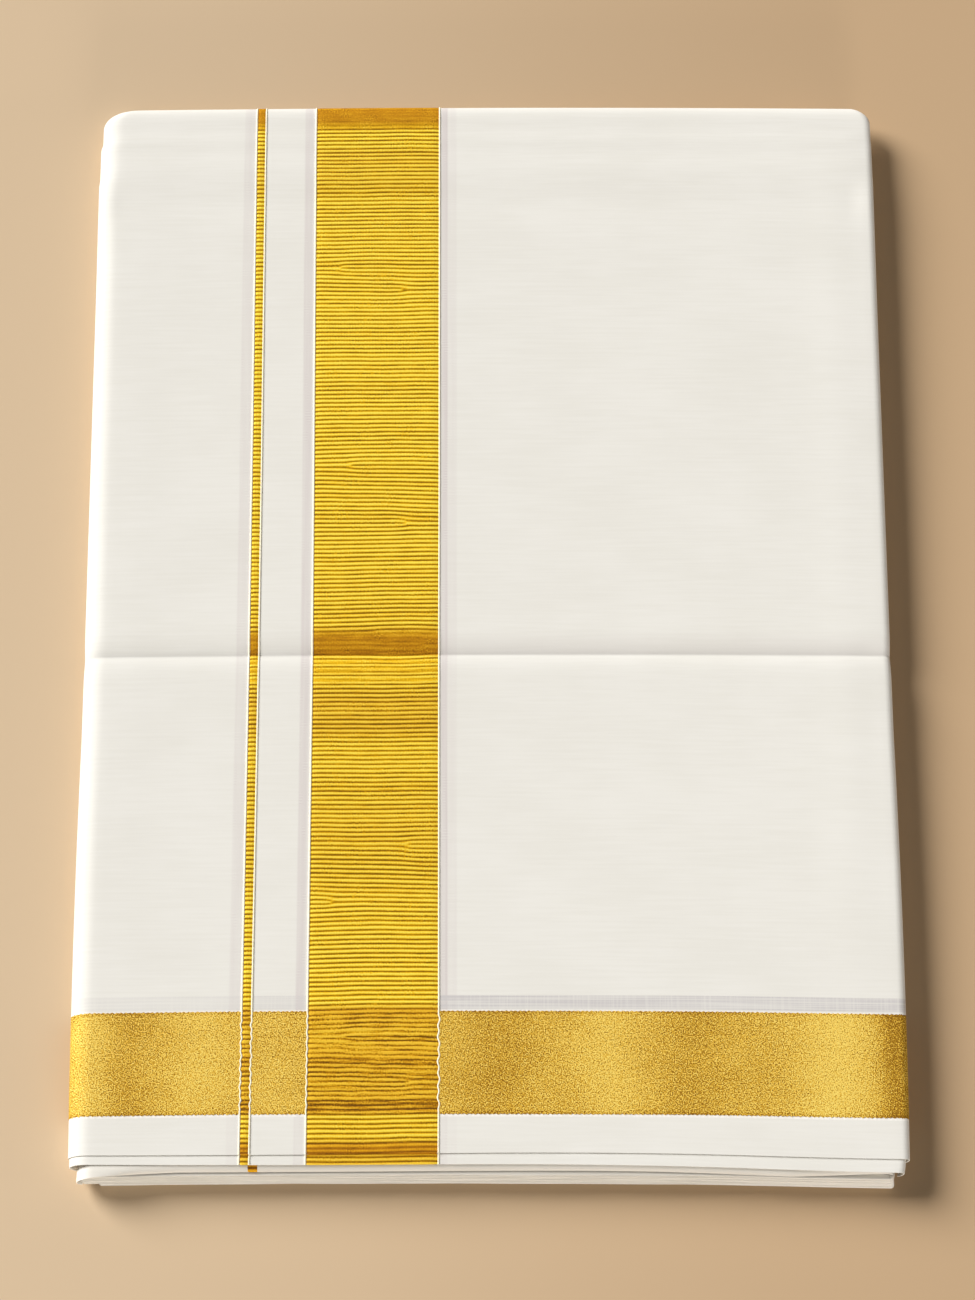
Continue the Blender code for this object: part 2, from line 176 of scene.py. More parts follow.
# Soft ridges and troughs pressed into the cloth: the middle of each, its turn from the weft, its
# half length and half width, and its height, which is negative for a trough.
Form = namedtuple("Form", "x y turn long wide height")
FORMS = (
    Form(0, -14.6, 0, 600, 4.0, -0.20),
    Form(0, -5.0, 0, 600, 7.0, 0.16),
    Form(0, 181.0, 0, 600, 8.5, -0.72),
    Form(0, 196.5, 0, 600, 5.0, 0.22),
    Form(0, 209.5, 0, 600, 3.2, 0.34),
    Form(30, 199.0, 1, 90, 5.0, -0.12),
    Form(142, 70, 90, 150, 9.0, 0.20),
    Form(140, -95, 90, 70, 10.0, 0.14),
    Form(-140, 40, 90, 160, 9.0, 0.10),
    Form(60, -60, 3, 110, 20.0, -0.16),
    Form(40, 90, -4, 120, 26.0, 0.14),
    Form(95, 10, -2, 60, 14.0, -0.10),
    Form(-118, -90, 4, 40, 16.0, -0.10),
    Form(-112, 120, -3, 44, 15.0, 0.10),
    Form(80, 150, 2, 70, 12.0, -0.10),
    Form(15, -125, 2, 90, 13.0, 0.10),
    Form(70, -148, -1, 60, 7.0, 0.10),
    Form(90, -206, 1, 70, 5.0, 0.08),
)


def smooth(t):
    """0 to 1 with no kink at either end."""
    t = np.clip(t, 0.0, 1.0)
    return t * t * (3 - 2 * t)


def between(y, low, high, rise, fall):
    """1 between two places and 0 outside, rising and falling over these lengths inside them."""
    return smooth((y - low) / rise) * smooth((high - y) / fall)


def waves(table, x, y):
    """The sum of a table's waves at places on the cloth."""
    return sum(wave.height * np.sin(x / wave.across + y / wave.along + wave.phase) for wave in table)


def crease(y):
    """1 at the bottom of the crease, falling to 0 at its shoulders."""
    away = y - CREASE_Y
    span = np.where(away > 0, CREASE_FAR, CREASE_NEAR)
    return np.maximum(0.0, 1 - np.abs(away) / span) ** 2


def top_height(y):
    """Height of the packet's upper side at y."""
    slope = smooth((y - (NOSE_START - FAR_SLOPE)) / FAR_SLOPE)
    return PACK_HEIGHT - CREASE_DEPTH * crease(y) - FAR_SLOPE_DROP * slope


def outline_inset(x, y):
    """How far the packet's left or right side, as x says, stands in from its full width at y."""
    fullness = BULGE * np.maximum(0.0, 1 - ((y - BULGE_Y) / BULGE_SPAN) ** 2)
    into = np.clip(y - (HALF_LENGTH - CORNER_RADIUS), 0.0, CORNER_RADIUS)
    corner = CORNER_RADIUS - np.sqrt(CORNER_RADIUS**2 - into**2)
    jogs = sum(jog.inset * smooth((y - jog.y) / JOG_LENGTH) for jog in JOGS)
    jogs = np.where(x < 0, 1.0, RIGHT_JOG_SHARE) * jogs
    waist = WAIST * between(y, *WAIST_ENDS, WAIST_FADE, WAIST_FADE)
    return BULGE - fullness + CREASE_PINCH * crease(y) + corner + jogs + waist


def drawn_in(x, y):
    """A place across the flat once it follows its side's inset: not in the middle, fully at the side."""
    share = smooth((np.abs(x) - PULL_START) / PULL_SPAN)
    return x - np.sign(x) * outline_inset(x, y) * share


def bowed(x, y):
    """The y of a point of the packet once the weft is bowed and askew."""
    across = x / HALF_WIDTH
    near = np.maximum(0.0, (CREASE_Y - y) / (CREASE_Y + HALF_LENGTH))
    depth = sum(dip.depth * smooth(dip.side * (x - dip.x) / dip.span) for dip in DIPS)
    return y + CENTRING + WEFT_BOW * (0.5 - across**2) - near * (WEFT_SKEW * across + depth)


def relief(x, y):
    """Height of the soft forms pressed into the cloth."""
    total = np.zeros(np.broadcast(x, y).shape)
    for form in FORMS:
        turn = math.radians(form.turn)
        along = (x - form.x) * math.cos(turn) + (y - form.y) * math.sin(turn)
        across = (y - form.y) * math.cos(turn) - (x - form.x) * math.sin(turn)
        total += form.height * np.exp(-((along / form.long) ** 4) - (across / form.wide) ** 2)
    return total


def drift(x, y):
    """How far the bands' edges wander from straight, carried by the cloth between them."""
    low, high = END_BAND[0] - RAGGED_MARGIN, END_BAND[1] + RAGGED_MARGIN
    crossing = between(y, low, high, RAGGED_FADE, RAGGED_FADE)
    shifts = [np.interp(y, DRIFT_YS, edge.drifts) + crossing * waves(edge.ragged, x, y) for edge in EDGES]
    total = np.zeros(np.broadcast(x, y).shape)
    for a, b, start, end in zip(EDGES, EDGES[1:], shifts, shifts[1:]):
        share = (x - a.x) / (b.x - a.x)
        inside = (share >= 0) & (share < 1)
        total += np.where(inside, start + (end - start) * share, 0.0)
    return total


# ---- The free ends: how far each one's edge lies from straight ----


def top_end(x):
    return EDGE_WAVE * np.sin(2 * np.pi * x / EDGE_WAVE_LENGTH + EDGE_WAVE_PHASE)


def under_end(x):
    return top_end(x) - UNDER_SKEW * x / HALF_WIDTH


# How far the third ply's edge lies beyond the second one's: place across, and that distance.
THIRD_BEYOND = (
    (-160, 5.9), (-152, 5.3), (-144, 4.2), (-131, 3.0), (-118, 2.3), (-72, 2.0), (0, 1.9), (58, 1.6),
    (98, 1.9), (113, 2.0), (136, 0.6), (151, -0.5), (160, -1.5),
)


def third_end(x):
    return under_end(x) - np.interp(x, *zip(*THIRD_BEYOND))


# ---- Columns and rows: the two ways along the cloth ----

Columns = namedtuple("Columns", "place u fold")
Rows = namedtuple("Rows", "y turn v edge")


def arc(start, end, steps, a, b):
    """Angles in degrees round a bend, and the length of cloth from its start to each of them."""
    angles = np.linspace(start, end, steps + 1)
    turn = np.radians(angles)
    x, z = a * np.cos(turn), b * np.sin(turn)
    lengths = np.concatenate([[0], np.cumsum(np.hypot(np.diff(x), np.diff(z)))])
    return angles[1:], lengths[1:]


def columns_of(xs, left=None, right=None, steps=16):
    """Columns across a ply: places on the flat, and round the folds that are given."""
    lists = [list(xs), list(xs), [None] * len(xs)]
    for bend in filter(None, (left, right)):
        way = bend.sign
        angles, lengths = arc(90, bend.end, steps, bend.reach, (bend.above + bend.below) / 2)
        more = (list(angles), list(xs[::way][-1] + way * lengths), [bend] * steps)
        # On the left, where the way is -1, the lists grow backwards.
        lists = [(old[::way] + new)[::way] for old, new in zip(lists, more)]
    place, u, fold = lists
    return Columns(np.array(place, float), np.array(u, float), fold)


def rows_of(ys, end, nose_steps=12):
    """Rows along a ply: its places on the flat, and round the far nose if nose_steps isn't 0."""
    ys = np.array(ys, float)
    turn = np.zeros(len(ys))
    v = ys.copy()
    if nose_steps:
        angles, lengths = arc(0, NOSE_END, nose_steps, NOSE_HALF_HEIGHT, NOSE_LENGTH)
        ys = np.concatenate([ys, np.full(nose_steps, NOSE_START)])
        turn = np.concatenate([turn, angles])
        v = np.concatenate([v, NOSE_START + lengths])
    return Rows(ys, turn, v, end)


def skin(columns, rows, depth):
    """Points of the packet this far below its outside, rows by columns, in millimetres."""
    shape = (len(rows.y), len(columns.u))
    depth = np.broadcast_to(depth, shape)
    turn = np.radians(rows.turn)[:, None]
    inward = NOSE_HALF_HEIGHT - (NOSE_HALF_HEIGHT - depth) * np.cos(turn)
    y = rows.y[:, None] + (NOSE_LENGTH - depth) * np.sin(turn)
    height = top_height(y)
    x = drawn_in(columns.place[None, :], y)
    x = x + drift(x, y)
    z = height - inward
    bent = z
    squeeze = height / PACK_HEIGHT
    for bend in {fold for fold in columns.fold if fold}:
        here = np.array([fold is bend for fold in columns.fold])[None, :]
        angle = np.radians(columns.place)[None, :]
        reach = np.maximum(bend.reach - inward, TIGHTEST)
        flare = bend.flare * (1 - smooth((y + HALF_LENGTH) / FLARE_LENGTH))
        centre = HALF_WIDTH - bend.inset - bend.reach - outline_inset(bend.sign, y) + flare
        bent_x = bend.sign * (centre + reach * np.cos(angle))
        middle = np.minimum(bend.middle * squeeze, z)
        low = (bend.middle - bend.below) * squeeze + inward
        radius = np.where(angle >= 0, z - middle, np.maximum(middle - low, TIGHTEST))
        bent_z = middle + radius * np.sin(angle)
        x, bent = np.where(here, bent_x, x), np.where(here, bent_z, bent)
    shift = np.zeros(shape)
    if rows.edge:
        shift = (1 - smooth((rows.y - rows.y[0]) / EDGE_FADE))[:, None] * rows.edge(x)
    return np.stack([x, bowed(x, y + shift), bent], axis=2)


# ---- Meshes ----

# Edges with a sharper turn than this many degrees aren't smoothed over.
SHARP_ANGLE = 50


def add_object(name, data):
    """An object in the scene, from its data."""
    made = bpy.data.objects.new(name, data)
    bpy.context.scene.collection.objects.link(made)
    return made


def add_mesh(name, points, faces, attributes, material):
    """A smooth shaded mesh object from points in millimetres, with named values at its points."""
    used = np.unique(np.concatenate([np.ravel(face) for face in faces]))
    fresh = np.zeros(len(points), int)
    fresh[used] = np.arange(len(used))
    mesh = bpy.data.meshes.new(name)
    corners = [fresh[list(face)].tolist() for face in faces]
    mesh.from_pydata((points[used] * MM).tolist(), [], corners)
    for key, values in attributes.items():
        values = np.asarray(values, np.float32)[used]
        kind = "FLOAT_VECTOR" if values.ndim == 2 else "FLOAT"
        layer = mesh.attributes.new(key, kind, "POINT")
        layer.data.foreach_set("vector" if values.ndim == 2 else "value", values.ravel())
    mesh.validate()
    mesh.shade_smooth()
    mesh.set_sharp_from_angle(angle=math.radians(SHARP_ANGLE))
    mesh.materials.append(material)
    return add_object(name, mesh)


def wall_faces(keep):
    """Faces of a closed wall over the kept cells of a grid: outer face, inner face and rims.

    The outer points come first, row by row, and then the inner ones.
    """
    cell_rows, cell_columns = keep.shape
    across = cell_columns + 1
    inner = (cell_rows + 1) * across
    i, j = np.nonzero(keep)
    corner = i * across + j
    ring = np.stack([corner, corner + 1, corner + across + 1, corner + across], axis=1)
    faces = [ring, ring[:, ::-1] + inner]
    padded = np.pad(keep, 1)
    beyond = (padded[:-2, 1:-1], padded[1:-1, 2:], padded[2:, 1:-1], padded[1:-1, :-2])
    for k, neighbour in enumerate(beyond):
        bare = ~neighbour[i, j]
        a, b = ring[bare, k], ring[bare, (k + 1) % 4]
        faces.append(np.stack([b, a, a + inner, b + inner], axis=1))
    return np.concatenate(faces).tolist()


def add_wall(name, columns, rows, outer, inner, material, keep=None, **values):
    """A closed wall between two depths of the skin, over the kept cells."""
    shape = (len(rows.y), len(columns.u))
    if keep is None:
        keep = np.ones((shape[0] - 1, shape[1] - 1), bool)
    points = np.concatenate([skin(columns, rows, d).reshape(-1, 3) for d in (outer, inner)])
    u, v = np.meshgrid(columns.u, rows.v)
    cloth = np.stack([u, v, 0 * u], axis=2).reshape(-1, 3)
    attributes = {"cloth": np.concatenate([cloth, cloth])}
    for key, value in values.items():
        flat = np.broadcast_to(value, shape).ravel()
        attributes[key] = np.concatenate([flat, flat])
    return add_mesh(name, points, wall_faces(keep), attributes, material)


def steps_between(low, high, pitch):
    """Places from low to high about one pitch apart, both ends among them."""
    return np.linspace(low, high, max(1, round(abs(high - low) / pitch)) + 1)


def joined(*parts):
    """Sorted places from several lists, without repeats."""
    return np.unique(np.round(np.concatenate(parts), 4))


# ---- Materials ----


class Shader:
    """A Principled material whose colour, roughness and bump come from nodes."""

    def __init__(self, name, **fixed):
        self.material = bpy.data.materials.new(name)
        self.material.use_nodes = True
        self.tree = self.material.node_tree
        self.main = self.tree.nodes["Principled BSDF"]
        for key, value in fixed.items():
            self.surface(key.replace("_", " ").title().replace("Ior", "IOR"), value)

    def feed(self, socket, value):
        """Links a socket to another one, or sets its value."""
        if isinstance(value, bpy.types.NodeSocket):
            self.tree.links.new(value, socket)
        else:
            socket.default_value = value

    def surface(self, key, value):
        """Links or sets an input of the Principled node."""
        self.feed(self.main.inputs[key], value)

    def node(self, kind, inputs=None, **settings):
        """A node with its settings, and its inputs by name or number."""
        made = self.tree.nodes.new("ShaderNode" + kind)
        for key, value in settings.items():
            setattr(made, key, value)
        for key, value in (inputs or {}).items():
            self.feed(made.inputs[key], value)
        return made

    def math(self, operation, a, b=0.0, c=0.0):
        """A number worked out from up to three others."""
        return self.node("Math", {0: a, 1: b, 2: c}, operation=operation).outputs[0]

    def times(self, a, b):
        return self.math("MULTIPLY", a, b)

    def plus(self, a, b):
        return self.math("ADD", a, b)

    def share(self, value, part, base):
        """A part of a value, added to a base."""
        return self.math("MULTIPLY_ADD", value, part, base)

    def vary(self, value, part, base):
        """A part of a value from 0 to 1, centred on 0 and added to a base."""
        return self.share(self.math("SUBTRACT", value, 0.5), part, base)

    def wave(self, place, pitch):
        """A sine wave along a place, with its pitch in millimetres."""
        return self.math("SINE", self.times(place, 2 * math.pi / pitch))

    def value(self, attribute):
        """A named value of the mesh's points."""
        return self.node("Attribute", attribute_name=attribute).outputs["Fac"]

    def cloth(self):
        """The place on the cloth laid flat, in millimetres: its u and its v."""
        self.vector = self.node("Attribute", attribute_name="cloth").outputs["Vector"]
        split = self.node("SeparateXYZ", {0: self.vector})
        return split.outputs[0], split.outputs[1]

    def noise(self, size, detail=2.0, rough=0.5):
        """Noise from 0 to 1 on the cloth, whose grains are size = (across, along) millimetres."""
        scaled = self.node("Mapping", {0: self.vector, 3: (1 / size[0], 1 / size[1], 1)}).outputs[0]
        inputs = {"Vector": scaled, "Scale": 1.0, "Detail": detail, "Roughness": rough}
        return self.node("TexNoise", inputs).outputs[0]

    def remap(self, value, low, high, to_low=0.0, to_high=1.0):
        """A value's place between low and high, as a soft step from to_low to to_high."""
        inputs = {0: value, 1: low, 2: high, 3: to_low, 4: to_high}
        return self.node("MapRange", inputs, interpolation_type="SMOOTHSTEP").outputs[0]

    def band(self, place, low, high, soft=0.3):
        """1 between two places and 0 outside, with soft edges."""
        rise = self.remap(place, low - soft, low + soft)
        fall = self.remap(place, high - soft, high + soft, 1.0, 0.0)
        return self.times(rise, fall)

    def mix(self, share, a, b):
        return self.node("Mix", {0: share, 6: a, 7: b}, data_type="RGBA").outputs[2]

    def ramp(self, value, *stops):
        """A colour for each place from 0 to 1, each stop being its place and its sRGB values."""
        made = self.node("ValToRGB", {0: value})
        elements = made.color_ramp.elements
        while len(elements) < len(stops):
            elements.new(0.5)
        for element, (place, *color) in zip(elements, stops):
            element.position = place
            element.color = rgb(*color)
        return made.outputs[0]

    def finish(self, color, height, distance, strength):
        """The material in this colour, with a height from 0 to 1, times millimetres, pressed in."""
        self.surface("Base Color", color)
        inputs = {"Height": height, "Distance": distance * MM, "Strength": strength}
        self.surface("Normal", self.node("Bump", inputs).outputs[0])
        return self.material


def rgb(red, green, blue):
    """A colour from its sRGB values."""
    def linear(value):
        value /= 255
        return value / 12.92 if value <= 0.04045 else ((value + 0.055) / 1.055) ** 2.4

    return linear(red), linear(green), linear(blue), 1.0


def tinted(color, parts):
    """A colour with its red, green and blue scaled."""
    return tuple(value * part for value, part in zip(color, parts)) + (1.0,)


# Sheer strips, where the reed is open: from, to, and how strongly each one shows.
Sheer = namedtuple("Sheer", "low high strength")
SHEERS = (
    Sheer(STRIPE[0] - 5.2, STRIPE[0] - 1.0, 0.45),
    Sheer(BORDER[0] - 4.9, BORDER[0] - 1.3, 0.8),
    Sheer(BORDER[1] + 1.1, BORDER[1] + 3.5, 0.9),
    Sheer(BORDER[1] + 3.0, BORDER[1] + 7.2, 0.3),
)
GREY_LINE = (END_BAND[1] + 0.9, END_BAND[1] + 6.2)
# The last stretch of the upper end, where the sheer strips are fainter.
HEM = (END_BAND[0] - 20, END_BAND[0])

# Pitches of the white and the gold threads, the hatching of the sheer strips and a cord's twist.
WEFT_PITCH = 0.46
WARP_PITCH = 0.42
GOLD_PITCH = 0.62
HATCH_PITCH = 1.15
TWIST_PITCH = 0.9
# How often the grain of the end band turns over within its noise.
MAZE_TURNS = 38.0

# How dim and bright white cotton gets, and how it is tinted by the painted shade along its crease.
DIM = (0.965, 0.962, 0.950)
BRIGHT = (1.015, 1.015, 1.015)
CREASE_SHADE = (0.88, 0.85, 0.86)


def weave(shader, u, v):
    """Height of a plain weave: threads each way, uneven in thickness, with longer slubs."""
    threads = shader.times(shader.wave(v, WEFT_PITCH), shader.wave(u, WARP_PITCH))
    slubs = shader.noise((16.0, 0.55))
    ends = shader.noise((0.5, 22.0), 1.0)
    height = shader.share(slubs, 0.5, shader.share(threads, 0.10, 0.25))
    return shader.share(ends, 0.25, height)


def sheer_strips(shader, base, u, v):
    """Mixes in the sheer strips, uneven and faintly hatched."""
    strips = 0.0
    for strip in SHEERS:
        here = shader.times(shader.band(u, strip.low, strip.high, 0.5), strip.strength)
        strips = shader.plus(here, strips)
    slow = shader.noise((1.6, 60.0))
    strips = shader.times(strips, shader.remap(slow, 0.3, 0.7, 0.65, 1.0))
    strips = shader.times(strips, shader.share(shader.band(v, *HEM, 2.0), -0.5, 1.0))
    patches = shader.remap(shader.noise((2.5, 8.0)), 0.5, 0.68, 0.0, 0.35)
    lines = shader.plus(shader.times(shader.wave(v, HATCH_PITCH), patches), 1.0)
    return shader.mix(shader.times(strips, lines), base, rgb(219, 211, 208))


def grey_line(shader, base, u, v):
    """Mixes in the grey line above the end band, stronger in its upper part and to the right."""
    low, high = GREY_LINE
    upper = shader.share(shader.band(v, high - 0.8, high, 0.3), 0.25, 0.8)
    left = shader.remap(u, STRIPE[0] - 4, STRIPE[1] + 4, 0.28, 0.5)
    line = shader.times(shader.band(v, low, high, 0.35), shader.times(upper, left))
    right = shader.remap(u, BORDER[0] + 4, BORDER[1] - 4, 1.0, 2.0)
    fine = shader.remap(shader.noise((0.7, 30.0)), 0.2, 0.6, 0.6, 1.0)
    line = shader.times(line, shader.times(right, fine))
    picks = shader.remap(shader.noise((70.0, 0.7)), 0.35, 0.65, 0.55, 1.25)
    return shader.mix(shader.times(line, picks), base, rgb(207, 203, 202))


def band_rims(shader, base, v):
    """Mixes in the white rims of the end band, uneven like teeth."""
    low, high = END_BAND
    upper = shader.band(v, high - 0.3, high + 0.6, 0.25)
    lower = shader.band(v, low - 1.0, low + 0.2, 0.25)
    teeth = shader.remap(shader.noise((0.8, 9.0), 1.0), 0.35, 0.65, 0.4, 1.0)
    return shader.mix(shader.times(shader.plus(upper, lower), teeth), base, rgb(253, 250, 243))


def cotton_material(name, color, banded=True):
    """White cotton: fine plain weave, slubs, painted shade along the crease, and what is woven in beside
    the bands.
    """
    shader = Shader(name, roughness=0.86, sheen_weight=0.12, sheen_roughness=0.6, specular_ior_level=0.25)
    u, v = shader.cloth()
    shade = shader.noise((42.0, 30.0), 3.0)
    streak = shader.noise((26.0, 1.1))
    tone = shader.share(streak, 0.45, shader.times(shade, 0.55))
    base = shader.mix(shader.remap(tone, 0.3, 0.7), tinted(color, DIM), tinted(color, BRIGHT))
    # Painted shade on the crease's far bank: none at the far left, stronger towards the right.
    crease_shade = shader.remap(v, CREASE_Y - 0.6, CREASE_Y + 0.4)
    crease_shade = shader.times(crease_shade, shader.remap(v, CREASE_Y, CREASE_Y + CREASE_FAR, 1.0, 0.0))
    crease_shade = shader.times(crease_shade, shader.remap(u, -110, -50, 0.0, 0.45))
    base = shader.mix(crease_shade, base, tinted(color, CREASE_SHADE))
    if banded:
        base = sheer_strips(shader, base, u, v)
        base = grey_line(shader, base, u, v)
        base = band_rims(shader, base, v)
    return shader.finish(base, weave(shader, u, v), 0.06, 0.6)


def ribbed_gold_material():
    """Gold thread laid in weft ribs: bright crests, deep orange grooves in painted shade, fine cross
    threads, and painted light and shade along the band.
    """
    shader = Shader("zari_ribbed", metallic=0.15, specular_ior_level=0.2)
    u, v = shader.cloth()
    crossing = shader.band(v, *END_BAND, 1.5)
    ticks = shader.noise((0.5, 0.7), 2.0, 0.6)
    hatched = shader.remap(shader.noise((9.0, 6.0), 1.0), 0.52, 0.66, 0.5, 1.3)
    level = shader.vary(ticks, shader.share(crossing, 0.8, hatched), shader.value("rib"))
    level = shader.vary(shader.noise((7.0, 2.6)), 0.25, level)
    lines = shader.remap(shader.noise((9.0, 0.6)), 0.3, 0.7, -0.5, 0.5)
    level = shader.share(lines, shader.share(crossing, 0.35, 0.1), level)
    # A lit and a shaded copy of the gold, both darker towards the grooves as painted shade, mixed by the
    # painted light and shade along the band.
    lit = shader.ramp(
        level, (0.08, 136, 98, 0), (0.31, 202, 150, 0), (0.55, 252, 203, 22), (0.84, 255, 235, 84)
    )
    shaded = shader.ramp(level, (0.1, 110, 66, 0), (0.5, 186, 120, 2), (0.85, 238, 176, 14))
    color = shader.mix(shader.value("tone"), shaded, lit)
    shader.surface("Roughness", shader.remap(level, 0.2, 0.9, 0.80, 0.70))
    return shader.finish(color, shader.share(shader.wave(u, GOLD_PITCH), 0.2, ticks), 0.10, 0.7)


def grained_gold_material():
    """The end band: gold thread floats in a fine uneven grain, with painted sheen and shade in broad
    patches and in soft stripes across it.
    """
    shader = Shader("zari_grained", metallic=0.18, specular_ior_level=0.2)
    _, v = shader.cloth()
    grain = shader.noise((0.45, 0.5), 1.0, 0.6)
    maze = shader.noise((1.7, 1.9), 0.0)
    worms = shader.math("SINE", shader.times(maze, MAZE_TURNS))
    level = shader.share(worms, 0.15, shader.remap(grain, 0.3, 0.7, 0.22, 0.94))
    # Broad patches of painted sheen and shade.
    level = shader.vary(shader.noise((24.0, 15.0)), 0.2, level)
    # The painted sheens and shade across the band, from SHEENS.
    level = shader.plus(level, shader.value("tone"))
    inner = shader.band(v, END_BAND[0] + 1.0, END_BAND[1] - 1.0, 1.0)
    level = shader.plus(level, shader.share(inner, 0.16, -0.16))
    color = shader.ramp(
        level, (0.22, 138, 94, 12), (0.46, 204, 154, 40), (0.66, 240, 196, 68), (0.90, 252, 227, 122)
    )
    shader.surface("Roughness", shader.remap(grain, 0.3, 0.7, 0.82, 0.72))
    return shader.finish(color, grain, 0.22, 0.8)


def cord_material():
    """The white cord along each side of a gold band, plied from fine threads."""
    shader = Shader("white_cord", roughness=0.8, sheen_weight=0.1, specular_ior_level=0.3)
    u, v = shader.cloth()
    fibre = shader.noise((0.5, 1.6))
    base = shader.mix(shader.remap(fibre, 0.3, 0.7), rgb(246, 238, 208), rgb(255, 250, 228))
    twist = shader.wave(shader.plus(u, v), TWIST_PITCH)
    return shader.finish(base, shader.share(twist, 0.25, fibre), 0.12, 0.6)


COTTON = cotton_material("cotton_weave", rgb(238, 236, 229))
PLAIN_COTTON = cotton_material("cotton_layers", rgb(241, 237, 228), banded=False)
RIBBED_GOLD = ribbed_gold_material()
GRAINED_GOLD = grained_gold_material()
CORD = cord_material()


# ---- Ribs, cords and white plies ----

FLAT_END = HALF_WIDTH - LEFT.reach
# The soft forms fade out round a side, over this length of cloth, and end this far beyond the flat.
FADE_SPAN = 8.0
FADE_BEYOND = 7.0
# The near edges of the upper ply, of the one below it and of the third.
TOP_EDGE = 8.7 - HALF_LENGTH
UNDER_EDGE = THIRD_EDGE = 4.4 - HALF_LENGTH
# The third ply is the upper side of a fold, so it bends down at its near edge.
CURL_LENGTH = 3.0
CURL_DROP = 2.4
CURL_START = -152.0
CURL_FADE = 24.0
STEEPEST = 0.97
THIRD_STRIPE = (STRIPE[0] + 3.0, STRIPE[1] + 3.4)

# Painted light and shade along the ribbed bands, such as sheens and the shade at the crease and at the
# far nose, with the duller gold where they cross the end band: y, and 0 for dull, shaded gold to 1 for
# bright, lit gold.
TONE_AND_PAINTED_LIGHT = (
    (-226, 0.5), (-218, 0.5), (-217, 0.0), (-213.2, 0.1), (-211, 0.85), (-203, 0.9), (-200.5, 0.2),
    (-190, 0.4), (-180, 0.25), (-170, 0.45), (-161, 0.25), (-158, 1.0), (-120, 0.9), (-90, 0.75),
    (-53, 0.9), (-48, 0.62), (-35, 0.55), (-30, 0.85), (-17, 0.9), (-15.8, 0.1), (-9, 0.2),
    (-4, 0.9), (60, 1.0), (150, 1.0), (182, 0.95), (190, 0.75), (204, 0.8), (207, 1.0),
    (213, 1.0), (216, 0.6), (218.5, 0.14), (235, 0.14),
)

# Faults in the ribs, where one rib forks into two: place across and along, and its hand.
Fork = namedtuple("Fork", "u v hand")
FORKS = (
    Fork(-58.0, 151, 1), Fork(-33.0, 141, -1), Fork(-54.2, 64, 1), Fork(-32.3, 39, -1),
    Fork(-31.0, -95, 1), Fork(-60.0, -118, -1), Fork(-44.0, -9, 1), Fork(-25.0, -12, -1),
    Fork(-54.0, -172, 1), Fork(-30.0, -189, -1),
)
FORK_REACH = 2.0

# How the ribs wander from straight: everywhere, by fine waves that swell and fade, and by messy
# ones where they cross the end band.
WANDER = (Wave(0.09, 13.0, 31.0), Wave(0.05, 5.2, -23.0, 1.3))
FINE_WANDER = (Wave(0.05, 2.9, 3.7),)
SWELL = (Wave(1.0, 17.0, 11.0),)
MESSY = (Wave(0.08, 6.1, 4.3), Wave(0.06, 2.3, -2.7, 2.0))
# Where the ribs are finer, and by how much; where the crease and the far nose flatten them; and the
# middle and half width of a faint stretch near the free edge.
FINER_RIBS = (-31.0, -17.5)
FINER_RATIO = 1.45
FLAT_RIBS = (-17.0, -5.5)
NOSE_RIBS = 213.0
FAINT_RIBS_Y = -214.9
FAINT_RIBS_HALF = 1.8
# How many rows each rib has, its height, that of the band below it, and how far in from the band's
# edge it rises.
ROWS_PER_RIB = 5
RIB_HEIGHT = 0.26
BAND_HEIGHT = 0.05
RIB_RISE = 0.6

# A white cord: its width and height, how far outside a band's edge it runs, and how far its rim
# stands above the cloth and its root reaches into it.
CORD_WIDTH = 0.7
CORD_HEIGHT = 0.30
CORD_OUT = 0.32
CORD_RIM = 0.04
CORD_ROOT = 0.1


def relief_at(columns, rows):
    """Height of the soft forms at each row and column; a side has that of the flat beside it."""
    return relief(np.clip(columns.u, -FLAT_END, FLAT_END)[None, :], rows.y[:, None])


def side_fade(columns):
    """1 on the flat, falling to 0 round a side."""
    return smooth((FLAT_END + FADE_BEYOND - np.abs(columns.u)) / FADE_SPAN)[None, :]


def chance(number, seed):
    """A fixed value from 0 to 1 that looks random, for each whole number."""
    return (np.sin(number * 12.9898 + seed * 78.233) * 43758.5453) % 1.0


def crests(phase):
    """Height from 0 to 1 of even ribs, one for each whole phase."""
    return 0.5 + 0.5 * np.cos(2 * np.pi * phase)


